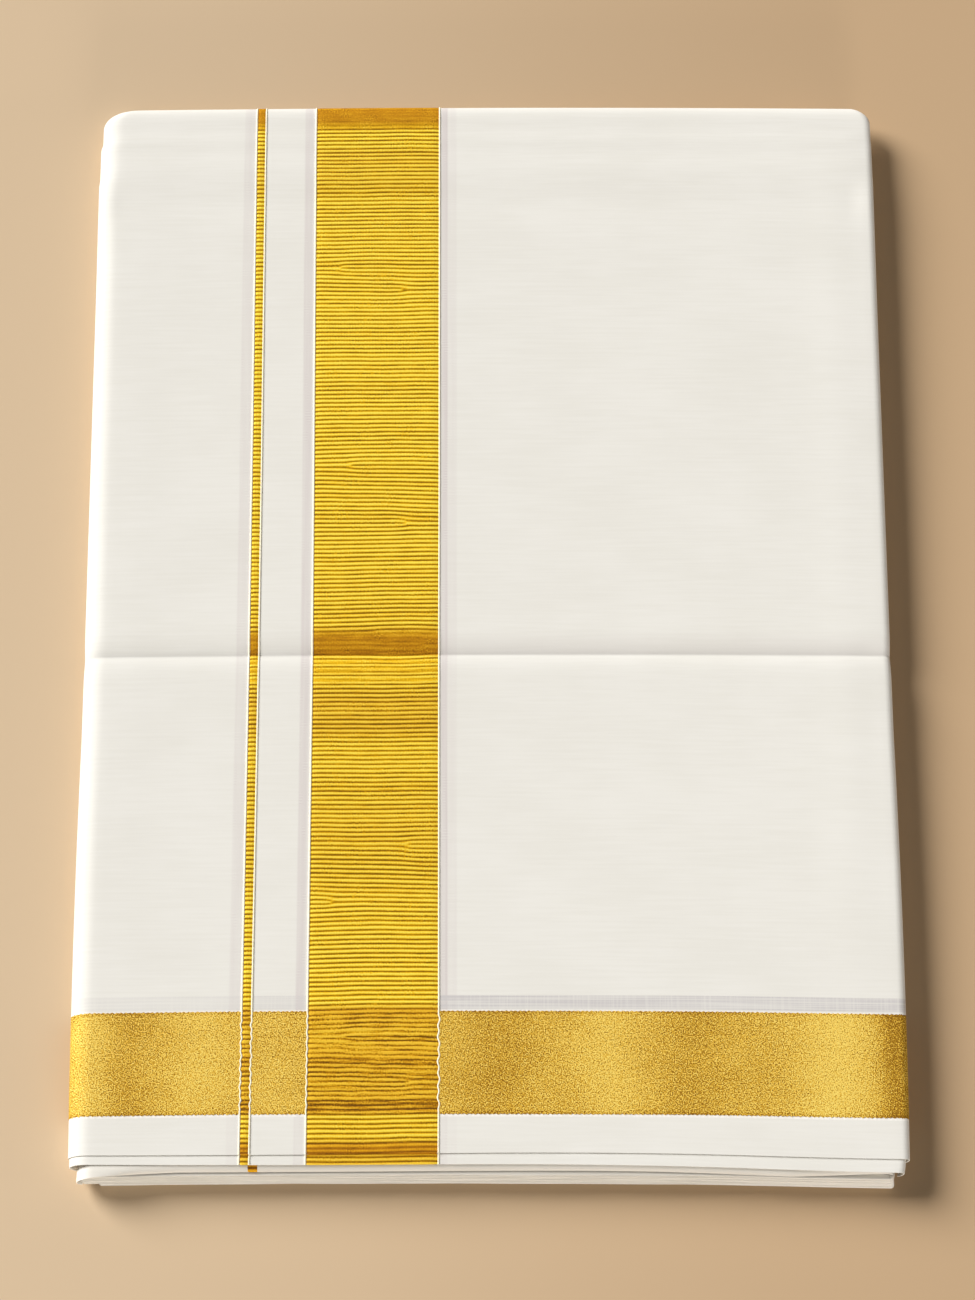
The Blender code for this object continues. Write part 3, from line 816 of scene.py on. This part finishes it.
def ribs(u, v):
    """Height of the ribs from 0 to 1 at places on the cloth."""
    crossing = between(v, *END_BAND, 3, 3)
    wander = waves(WANDER, u, v) + waves(FINE_WANDER, u, v) * waves(SWELL, u, v)
    phase = (v + wander + crossing * waves(MESSY, u, v)) / RIB_PITCH
    for fork in FORKS:
        phase = phase + fork.hand * np.arctan2(v - fork.v, u - fork.u) / (2 * np.pi)
    number = np.floor(phase + 0.5)
    height = crests(phase)
    finer = crests(FINER_RATIO * phase + 0.12 * np.sin(u / 5.3))
    patchy = smooth(0.5 + 0.6 * np.sin(u / 9.3 + v / 3.1 + 1.7 * np.sin(v / 7.7)))
    share = np.maximum(crossing * patchy * 0.2, between(v, *FINER_RIBS, 3, 2) * 0.4)
    height = (height + share * (finer - height)) ** 0.85
    near_fork = sum(np.exp(-((u - f.u) ** 2 + (v - f.v) ** 2) / FORK_REACH**2) for f in FORKS)
    depth = (1 - 0.3 * np.clip(near_fork, 0, 1)) * (0.78 + 0.22 * chance(number, 1))
    depth = depth * (1 - 0.85 * smooth((v - NOSE_RIBS) / 4))
    depth = depth * (1 - 0.85 * between(v, *FLAT_RIBS, 2, 3))
    depth = depth * (1 - 0.55 * np.exp(-(((v - FAINT_RIBS_Y) / FAINT_RIBS_HALF) ** 2)))
    uneven = 0.15 * (chance(number, 2) - 0.5) * (1 + 1.6 * crossing)
    return 0.5 + (height - 0.5) * depth + uneven


def ribbed_rows(low, high, end, nose_steps):
    """Rows fine enough for the ribs."""
    return rows_of(steps_between(low, high, RIB_PITCH / ROWS_PER_RIB), end, nose_steps)


def curl(u, y, drop):
    """How far the third ply bends down at its near edge."""
    bend = np.clip(1 - (y - THIRD_EDGE) / CURL_LENGTH, 0, STEEPEST)[:, None]
    return drop * smooth((u - CURL_START) / CURL_FADE)[None, :] * (1 - np.sqrt(1 - bend**2))


def add_ribbed(name, node, span, rows, depth, pitch, lit=1.0, drop=0.0):
    """A gold band ribbed along its length."""
    columns = columns_of(steps_between(*span, pitch))
    u, v = np.meshgrid(columns.u, rows.v)
    rib = ribs(u, v)
    # The painted light and shade along the band, scaled by how lit the band is; at 0 it is all painted in
    # the shaded gold.
    tone = lit * np.interp(v, *zip(*TONE_AND_PAINTED_LIGHT))
    edge = smooth(np.minimum(u - span[0], span[1] - u) / RIB_RISE)
    lift = RIB_HEIGHT * rib * edge + BAND_HEIGHT
    outer = depth - lift - relief_at(columns, rows) + curl(columns.u, rows.y, drop)
    made = add_wall(name, columns, rows, outer, outer + lift + PLY, RIBBED_GOLD, rib=rib, tone=tone)
    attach(made, "root")
    if node:
        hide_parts(node)
    return made


def add_cords(name, rows, depth):
    """The white cords along both sides of the stripe and of the border, as one piece."""
    shares = np.array([-1.0, -0.8, -0.45, 0.0, 0.45, 0.8, 1.0])
    profile = CORD_HEIGHT * np.sqrt(np.maximum(0, 1 - shares**2)) + CORD_RIM
    made = []
    for k, (edge, out) in enumerate(((STRIPE[0], -1), (STRIPE[1], 1), (BORDER[0], -1), (BORDER[1], 1))):
        columns = columns_of(edge + out * CORD_OUT + shares * CORD_WIDTH / 2)
        low = depth - relief_at(columns, rows)
        made.append(add_wall(f"{name}_{k}", columns, rows, low - profile, low + CORD_ROOT, CORD))
    bpy.ops.object.select_all(action="DESELECT")
    for piece in made:
        piece.select_set(True)
    bpy.context.view_layer.objects.active = made[0]
    bpy.ops.object.join()
    made[0].name = name
    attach(made[0], "root")
    return made[0]


def gap(band):
    """The gap in the white cloth below a band, which laps over both its sides."""
    return band[0] + LAP, band[1] - LAP


def in_gap(place, band):
    """True in the gap below a band."""
    low, high = gap(band)
    return (place > low) & (place < high)


def in_bands(u):
    """True in the gaps below the stripe and the border."""
    return in_gap(u, STRIPE) | in_gap(u, BORDER)


def ply_xs(left, right, laps):
    """Places across the flat of a ply between its folds, with the bands' laps among them."""
    low, high = left.reach + left.inset - HALF_WIDTH, HALF_WIDTH - right.reach - right.inset
    return joined(steps_between(low, high, 2.7), laps or [*gap(STRIPE), *gap(BORDER)])


def ply_ys(edge, laps=()):
    """Places along the flat of a ply, closer at its free edge, the end band and the crease."""
    near = (edge, edge + 6, END_BAND[0] - 2, END_BAND[1] + 2, CREASE_Y - CREASE_NEAR)
    far = (CREASE_Y + CREASE_FAR, 180, NOSE_START)
    return joined(
        *map(steps_between, near, near[1:], (0.75, 1.5, 0.65, 3.0)),
        CREASE_Y - CREASE_NEAR * np.linspace(0, 1, 10) ** 1.3,
        CREASE_Y + CREASE_FAR * np.linspace(0, 1, 12) ** 1.3,
        *map(steps_between, far, far[1:], (3.0, 1.6)),
        laps,
    )


def add_white_ply(name, nodes, rows, depth, left, right, cut, material, laps=(), drop=0.0):
    """A white ply, with its cells left out where cut(u, v) says that a band fills them."""
    columns = columns_of(ply_xs(left, right, laps), left, right)
    middle_u = (columns.u[:-1] + columns.u[1:]) / 2
    middle_v = (rows.v[:-1] + rows.v[1:]) / 2
    keep = ~cut(*np.meshgrid(middle_u, middle_v))
    lift = relief_at(columns, rows) * side_fade(columns)
    lift = lift * np.cos(np.radians(rows.turn))[:, None].clip(0)
    outer = depth - lift + curl(columns.u, rows.y, drop)
    made = add_wall(name, columns, rows, outer, outer + PLY, material, keep)
    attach(made, "root")
    if nodes:
        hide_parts(*nodes)
    return made


# ---- The upper free end ----


def add_upper_end():
    """The upper free end, with its stripe, border, cords and end band."""
    rows = rows_of(ply_ys(TOP_EDGE, gap(END_BAND)), top_end)

    def cut(u, v):
        return in_bands(u) | in_gap(v, END_BAND)

    cloth = add_white_ply("upper_cloth", ["top_cloth", "hem_middle"], rows, 0.0, LEFT, RIGHT, cut, COTTON)
    band_rows = ribbed_rows(TOP_EDGE, NOSE_START, top_end, 12)
    border = add_ribbed("border", "border_zari", BORDER, band_rows, 0.0, BORDER_PITCH)
    stripe = add_ribbed("stripe", "stripe_zari", STRIPE, band_rows, 0.0, STRIPE_PITCH)
    cords = add_cords("upper_cords", rows_of(ply_ys(TOP_EDGE), top_end), 0.0)
    return cloth, [border, stripe, cords, *add_end_band()]


# Painted sheens and shade across the end band: the middle and the half width of each, and how much
# brighter, darker where negative.
Sheen = namedtuple("Sheen", "middle half gain")
SHEENS = (
    Sheen(-170, 10, -0.20), Sheen(-150, 9, 0.14), Sheen(-139, 8, -0.09), Sheen(-109, 13, 0.11),
    Sheen(-82, 12, 0.07), Sheen(2, 14, -0.10), Sheen(45, 12, 0.13), Sheen(77, 12, -0.09),
    Sheen(132, 15, 0.20), Sheen(154, 6, -0.28),
)

# The end band: the pitch of its columns, how far it and its rim stand above the cloth, how deep its
# root reaches, and its teeth, which sway a little in size.
COLUMN_PITCH = 0.85
BAND_LIFT = 0.10
BAND_RIM = 0.06
BAND_ROOT = 0.25
TOOTH = 0.16
TOOTH_SWAY = 0.08


def add_end_band():
    """The gold end band in its three stretches, raised a little, with finely toothed edges."""
    low, high = END_BAND
    ys = joined([low, low + 0.45, high - 0.45, high], steps_between(low + 1, high - 1, 1.0))
    rows = rows_of(ys, None, 0)
    flat = steps_between(LEFT.reach - HALF_WIDTH, HALF_WIDTH - RIGHT.reach, COLUMN_PITCH)
    middle = (flat > STRIPE[1]) & (flat < BORDER[0])
    stretches = {
        "left": (flat[flat < STRIPE[0] - 0.2], [STRIPE[0]], LEFT, None),
        "middle": (flat[middle], [STRIPE[1], BORDER[0]], None, None),
        "right": (flat[flat > BORDER[1]], [BORDER[1]], None, RIGHT),
    }
    made = []
    for name, (xs, ends, left, right) in stretches.items():
        columns = columns_of(joined(xs, ends), left, right, steps=24)
        tooth = TOOTH * np.where(np.arange(len(columns.u)) % 2, 1.0, -1.0)
        tooth = tooth + TOOTH_SWAY * np.sin(columns.u * 2.1)
        lift = (BAND_LIFT + relief_at(columns, rows)) * side_fade(columns).clip(0.02)
        # The painted sheens and shade across the band.
        tone = sum(s.gain * np.exp(-(((columns.u - s.middle) / s.half) ** 2)) for s in SHEENS)[None, :]
        outer, inner = -lift - BAND_RIM, -lift + BAND_ROOT
        piece = add_wall(f"{name}_end_band", columns, rows, outer, inner, GRAINED_GOLD, tone=tone)
        push_teeth(piece, len(rows.y), len(columns.u), tooth)
        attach(piece, "root")
        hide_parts(f"end_band_{name}")
        made.append(piece)
    return made


def push_teeth(piece, row_count, column_count, tooth):
    """Moves a band's first and last rows in and out by turns, so that its edges are toothed."""
    half = row_count * column_count
    for k in range(2):
        for row, way in ((0, -1), (row_count - 1, 1)):
            for j in range(column_count):
                piece.data.vertices[k * half + row * column_count + j].co.y += way * tooth[j] * MM


# ---- The lower free end ----

# How far the gaps for the ends of the lower stripes and border run from the plies' near edges.
UNDER_SLOT = 12
THIRD_SLOT = 9


def add_lower_end():
    """The free end below, which shows as a strip with the ends of its stripe and border."""
    slot_end = UNDER_EDGE + UNDER_SLOT
    rows = rows_of(ply_ys(UNDER_EDGE, [slot_end]), under_end)

    def cut(u, v):
        return in_bands(u) & (v < slot_end)

    cloth = add_white_ply("lower_cloth", ["under_cloth"], rows, UNDER_DEPTH, UNDER_LEFT, UNDER_RIGHT,
                          cut, COTTON)
    band_rows = ribbed_rows(UNDER_EDGE, slot_end + 1, under_end, 0)
    border = add_ribbed("lower_border", "under_border_zari", BORDER, band_rows, UNDER_DEPTH, BORDER_PITCH)
    stripe = add_ribbed("lower_stripe", "under_stripe_zari", STRIPE, band_rows, UNDER_DEPTH, STRIPE_PITCH)
    short = rows_of(steps_between(UNDER_EDGE, slot_end, 1.5), under_end, 0)
    cords = add_cords("lower_cords", short, UNDER_DEPTH)
    return cloth, [border, stripe, cords]


# ---- The hidden plies ----

# The bundles of hidden plies: the height of each one's lower and upper side, how far its rounded
# edge stands in from the packet's outline on each side, and at the near right corner.
Bundle = namedtuple("Bundle", "low high near far left right corner")
BUNDLES = (
    Bundle(0.00, 2.10, 0.0, 6.4, 11.0, 5.2, 5.2),
    Bundle(2.10, 4.00, 0.3, 5.6, 4.6, 5.2, 5.4),
    Bundle(4.00, 5.75, 0.4, 5.0, 4.6, 5.3, 5.6),
    Bundle(5.75, 7.80, 0.7, 3.2, 4.6, 10.9, 5.8),
    Bundle(7.80, 9.40, 1.1, 1.6, 4.6, 11.0, 6.1),
    Bundle(9.40, 11.2, 3.2, 5.0, 4.6, 11.2, 6.4),
)
# How far in the rounding of a bundle's edge and of a ply's edge reaches, a ply's thickness, where
# the right side steps out to the near right corner, and the corners' radii.
BUNDLE_ROUND = 0.8
PLY_ROUND = 0.11
PLY_PITCH = 0.42
RINGS_PER_PLY = 5
TUCK_Y = -222.7
NEAR_CORNER = 1.4
FAR_CORNER = 9.0
# The gap between the bundles and the drooping third ply.
DROOP_GAP = 0.3
# How each ply's edge wanders along the packet and from ply to ply, how far in it stands on average,
# and where it grows quiet towards the near right corner, over what width and length.
PLY_WANDER = (Wave(0.10, 21.0, 1.0), Wave(0.06, 8.3, 1 / 2.1))
MEAN_INSET = 0.16
QUIET_X, QUIET_WIDTH = 90.0, 40.0
QUIET_Y, QUIET_LENGTH = 9.0 - HALF_LENGTH, 6.0
# How many steps each stretch of a ring has. The left side has two more, to match the near right
# corner's tuck.
NEAR_STEPS, SIDE_STEPS, FAR_STEPS, CORNER_STEPS = 96, 104, 72, 6


def below_droop(z):
    """How far in the drooping third ply's inside is at a height."""
    clear = THIRD_DEPTH + PLY + DROOP_GAP
    share = np.clip((z - DROOPING.middle) / (DROOPING.above - clear), 0, 0.999)
    reach = (DROOPING.reach - clear) * math.sqrt(1 - share**2)
    return DROOPING.inset + DROOPING.reach - reach


def ring_of(bundle, left_inset):
    """A bundle's outline in plan and its outward directions, from its near left corner round."""
    left, right = left_inset - HALF_WIDTH, HALF_WIDTH - bundle.right
    near, far = bundle.near - HALF_LENGTH, HALF_LENGTH - bundle.far
    corner = HALF_WIDTH - bundle.corner
    quarter = np.radians(np.linspace(0, 90, CORNER_STEPS + 1)[1:-1])

    def straight(start, end, steps):
        return np.linspace(start, end, steps + 1)

    def bend(x, y, radius, turn):
        angle = quarter + turn
        return np.stack([x + radius * np.cos(angle), y + radius * np.sin(angle)], 1)

    r, q = NEAR_CORNER, FAR_CORNER
    path = np.concatenate([
        straight((left + r, near), (corner - r, near), NEAR_STEPS),
        bend(corner - r, near + r, r, math.radians(-90)),
        [(corner, near + r), (corner, TUCK_Y)],
        straight((right, TUCK_Y + 1), (right, far - q), SIDE_STEPS),
        bend(right - q, far - q, q, 0.0),
        straight((right - q, far), (left + q, far), FAR_STEPS),
        bend(left + q, far - q, q, math.radians(90)),
        straight((left, far - q), (left, near + r), SIDE_STEPS + 2),
        bend(left + r, near + r, r, math.radians(180)),
    ])
    x, y = path.T
    flat = (np.abs(y - near) < 1e-6) | (np.abs(y - far) < 1e-6)
    sideways = np.where(flat, 0, np.where(x > 0, 1, -1))
    away = np.stack([sideways, np.where(y < near + r, -1, y > far - q)], 1)
    return path, away / np.hypot(*away.T)[:, None]


def layer_faces(level_count, count):
    """Faces between the rings, and the flat faces that close the lowest and the highest of them."""
    ring = np.arange(count)
    following = (ring + 1) % count
    below = np.arange(level_count - 1)[:, None] * count
    above = below + count
    quads = np.stack([below + ring, below + following, above + following, above + ring], 2)
    faces = [tuple(face) for face in quads.reshape(-1, 4).tolist()]
    right = NEAR_STEPS + CORNER_STEPS + 2
    far = right + SIDE_STEPS
    left = far + 2 * CORNER_STEPS + FAR_STEPS - 1
    near_again = left + SIDE_STEPS + 1
    ends = [[*range(near_again, count), *range(right + 1)], [*range(far, left + 1)]]
    strips = [[right + k, right + k + 1, near_again - 1 - k, near_again - k] for k in range(SIDE_STEPS)]
    for base, way in ((0, -1), ((level_count - 1) * count, 1)):
        faces += [tuple(base + n for n in face[::way]) for face in ends + strips]
    return faces


def add_layers():
    """The hidden plies: bundles with rounded edges, and a fine groove below each ply's edge."""
    rings, cloths = [], []
    for number, bundle in enumerate(BUNDLES):
        path, _ = ring_of(bundle, bundle.left)
        along = np.cumsum(np.hypot(*np.diff(path, axis=0, prepend=path[:1]).T))
        plies = round((bundle.high - bundle.low) / PLY_PITCH)
        for level in np.linspace(0, 1, plies * RINGS_PER_PLY + 1):
            ply = level * plies
            lean = abs(2 * level - 1)
            rounding = BUNDLE_ROUND * (1 - (1 - lean**3) ** (1 / 3))
            groove = abs(2 * (ply % 1) - 1) ** 4
            seed = 5.3 * number + 2.4 * min(int(ply), plies - 1)
            wander = waves(PLY_WANDER, along, seed)
            quiet = smooth((path[:, 0] - QUIET_X) / QUIET_WIDTH)
            quiet = quiet * smooth((QUIET_Y - path[:, 1]) / QUIET_LENGTH)
            depth = rounding + (PLY_ROUND * groove + wander + MEAN_INSET) * (1 - 0.8 * quiet)
            z = bundle.low + (bundle.high - bundle.low) * level
            path, away = ring_of(bundle, max(bundle.left, below_droop(z)))
            x, y = (path - away * depth[:, None]).T
            x = drawn_in(x, y)
            rings.append(np.stack([x, bowed(x, y), z * top_height(y) / PACK_HEIGHT], 1))
            cloths.append(np.stack([along, np.full(len(along), z), 0 * along], 1))
    values = {"cloth": np.concatenate(cloths)}
    faces = layer_faces(len(rings), len(along))
    made = add_mesh("hidden_plies", np.concatenate(rings), faces, values, PLAIN_COTTON)
    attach(made, "root")
    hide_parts("folded_layers")


def add_third_ply():
    """The third ply, whose loose near left corner droops, with a bit of its stripe."""
    slot_end = THIRD_EDGE + THIRD_SLOT
    rows = rows_of(ply_ys(THIRD_EDGE, [slot_end]), third_end)

    def cut(u, v):
        return in_gap(u, THIRD_STRIPE) & (v < slot_end)

    cloth = add_white_ply("third_cloth", [], rows, THIRD_DEPTH, DROOPING, INNER_RIGHT, cut,
                          PLAIN_COTTON, gap(THIRD_STRIPE), CURL_DROP)
    band_rows = ribbed_rows(THIRD_EDGE, slot_end + 1, third_end, 0)
    # Its bit of stripe is painted in the shaded gold alone, for the shade of the ply above it.
    stripe = add_ribbed("third_stripe", None, THIRD_STRIPE, band_rows, THIRD_DEPTH, STRIPE_PITCH,
                        0.0, CURL_DROP)
    return cloth, [stripe]


def flat_size(piece):
    """Width and length of the cloth in a piece laid flat, in metres."""
    places = np.empty(len(piece.data.vertices) * 3, np.float32)
    piece.data.attributes["cloth"].data.foreach_get("vector", places)
    width, length, _ = np.ptp(places.reshape(-1, 3), axis=0) * MM
    return round(float(width), 3), round(float(length), 3)


def main():
    """Builds the dressed packet."""
    cloth, woven = add_upper_end()
    lower, lower_woven = add_lower_end()
    third, third_woven = add_third_ply()
    add_layers()
    flat_size(cloth)
    flat_size(lower)
    flat_size(third)


# ---- The camera, the lamps and the floor ----

CAMERA_ELEVATION = 69.067
CAMERA_AZIMUTH = 0.158
CAMERA_DISTANCE = 1.7405
CAMERA_LENS = 122.67
CAMERA_AIM = Vector((0.000218, -0.01111, 0.006))


def add_aimed(name, data, toward, distance, aim=Vector()):
    """A lamp or a camera that looks at a point from a direction."""
    made = add_object(name, data)
    away = Vector(toward).normalized()
    made.location = aim + away * distance
    made.rotation_mode = "QUATERNION"
    made.rotation_quaternion = (-away).to_track_quat("-Z", "Y")
    return made


def add_camera():
    """The photograph's view: from above and in front of the packet's near edge."""
    data = bpy.data.cameras.new("camera")
    data.lens = CAMERA_LENS
    rise, turn = math.radians(CAMERA_ELEVATION), math.radians(CAMERA_AZIMUTH)
    back = (-math.sin(turn) * math.cos(rise), -math.cos(turn) * math.cos(rise), math.sin(rise))
    bpy.context.scene.camera = add_aimed("camera", data, back, CAMERA_DISTANCE, CAMERA_AIM)


# The lamps: the kind, direction, strength, size, colour and distance of each. A sun's size is the
# angle that it fills, in degrees.
Lamp = namedtuple("Lamp", "name kind toward energy size color distance")
LAMPS = (
    Lamp("key", "SUN", (-1.45, 1.0, 1.0), 5.02, 32.0, (1.0, 0.985, 0.97), 3.0),
    Lamp("fill", "AREA", (0.15, -1.0, 0.13), 215.0, 1.5, (1.0, 0.97, 0.93), 6.0),
    Lamp("bounce", "AREA", (1.0, -0.2, 0.14), 13.0, 0.8, (1.0, 0.92, 0.84), 3.0),
)
WORLD_STRENGTH = 0.10
# The floor's half width, in metres.
FLOOR_HALF = 12


def add_lights():
    """A broad soft key from far left, a low fill from the front and a faint one from the right."""
    for lamp in LAMPS:
        data = bpy.data.lights.new(lamp.name, lamp.kind)
        data.energy = lamp.energy
        data.color = lamp.color
        if lamp.kind == "SUN":
            data.angle = math.radians(lamp.size)
        else:
            data.shape = "DISK"
            data.size = lamp.size
        add_aimed(lamp.name, data, lamp.toward, lamp.distance)


def add_floor():
    """A plain pale floor with a faint mottle."""
    mesh = bpy.data.meshes.new("floor")
    corners = [(x * FLOOR_HALF, y * FLOOR_HALF, 0) for x, y in ((-1, -1), (1, -1), (1, 1), (-1, 1))]
    mesh.from_pydata(corners, [], [range(4)])
    shader = Shader("floor_paper", roughness=0.9, specular_ior_level=0.2)
    place = shader.node("TexCoord").outputs["Object"]
    inputs = {"Vector": place, "Scale": 3.0, "Detail": 3.0}
    mottle = shader.node("TexNoise", inputs).outputs[0]
    across = shader.node("SeparateXYZ", {0: place}).outputs[0]
    place = shader.share(mottle, 0.08, shader.plus(across, -0.04))
    base = shader.mix(shader.remap(place, -0.22, 0.2), rgb(219, 194, 161), rgb(199, 169, 133))
    shader.surface("Base Color", base)
    mesh.materials.append(shader.material)
    floor = add_object("floor", mesh)


def add_world():
    """Even soft light from all round."""
    world = bpy.data.worlds.new("studio")
    world.use_nodes = True
    background = world.node_tree.nodes["Background"]
    background.inputs[0].default_value = (1.0, 0.97, 0.93, 1)
    background.inputs[1].default_value = WORLD_STRENGTH
    bpy.context.scene.world = world


main()
add_camera()
add_floor()
add_world()
add_lights()
bpy.context.scene.view_settings.view_transform = "Standard"
